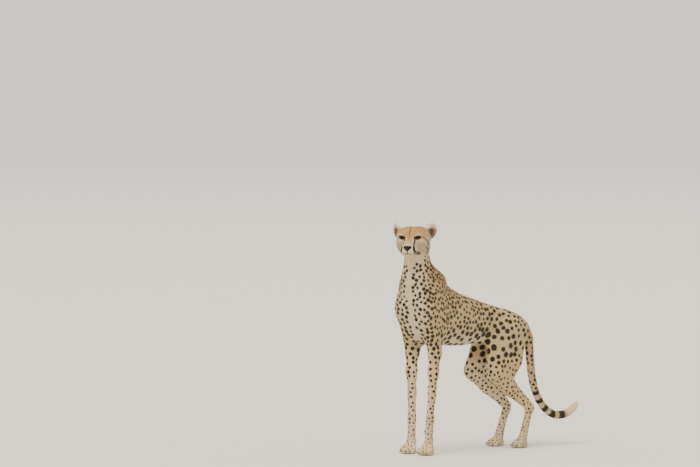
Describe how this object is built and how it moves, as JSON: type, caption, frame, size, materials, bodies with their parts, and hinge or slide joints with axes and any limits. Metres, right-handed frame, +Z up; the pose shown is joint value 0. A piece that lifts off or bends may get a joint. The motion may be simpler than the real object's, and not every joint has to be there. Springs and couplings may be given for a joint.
{
  "type": "life-size cheetah model",
  "caption": "Still life-size museum model of an adult cheetah, standing square and alert with its head turned to its left and its tail hanging in a low curve.",
  "frame": {"origin": "centre of the bounding box in plan, on the floor that the feet stand on", "axes": "+Z up; the animal stands along Y and faces -Y, with its left side towards +X; its spine curves so that its left side is the hollow side, and its head turns to its left"},
  "size_m": [0.2606, 1.0878, 1.0466],
  "materials": {
    "coat": "short sandy fur with dark spots, modelled as tufts over a skin",
    "pale_coat": "short pale fur of the feet",
    "nose_leather": "black moist grained leather",
    "claw": "dark semi-gloss horn",
    "eye": "clear wet cornea over an amber-brown iris"
  },
  "bodies": {
    "root": {"claw_fore_left_1": "claw", "claw_fore_left_2": "claw", "claw_fore_left_3": "claw", "claw_fore_left_4": "claw", "claw_fore_left_5": "claw", "claw_fore_right_1": "claw", "claw_fore_right_2": "claw", "claw_fore_right_3": "claw", "claw_fore_right_4": "claw", "claw_fore_right_5": "claw", "claw_hind_left_1": "claw", "claw_hind_left_2": "claw", "claw_hind_left_3": "claw", "claw_hind_left_4": "claw", "claw_hind_right_1": "claw", "claw_hind_right_2": "claw", "claw_hind_right_3": "claw", "claw_hind_right_4": "claw", "ear_left": "coat", "ear_right": "coat", "eye_left": "eye", "eye_right": "eye", "fore_foot_left": "pale_coat", "fore_foot_right": "pale_coat", "forearm_left": "coat", "forearm_right": "coat", "head": "coat", "hind_foot_left": "pale_coat", "hind_foot_right": "pale_coat", "neck": "coat", "nose": "nose_leather", "shank_left": "coat", "shank_right": "coat", "shoulder_left": "coat", "shoulder_right": "coat", "tail_base": "coat", "tail_middle": "coat", "tail_tip": "coat", "thigh_left": "coat", "thigh_right": "coat", "trunk": "coat"}
  },
  "joints": []
}
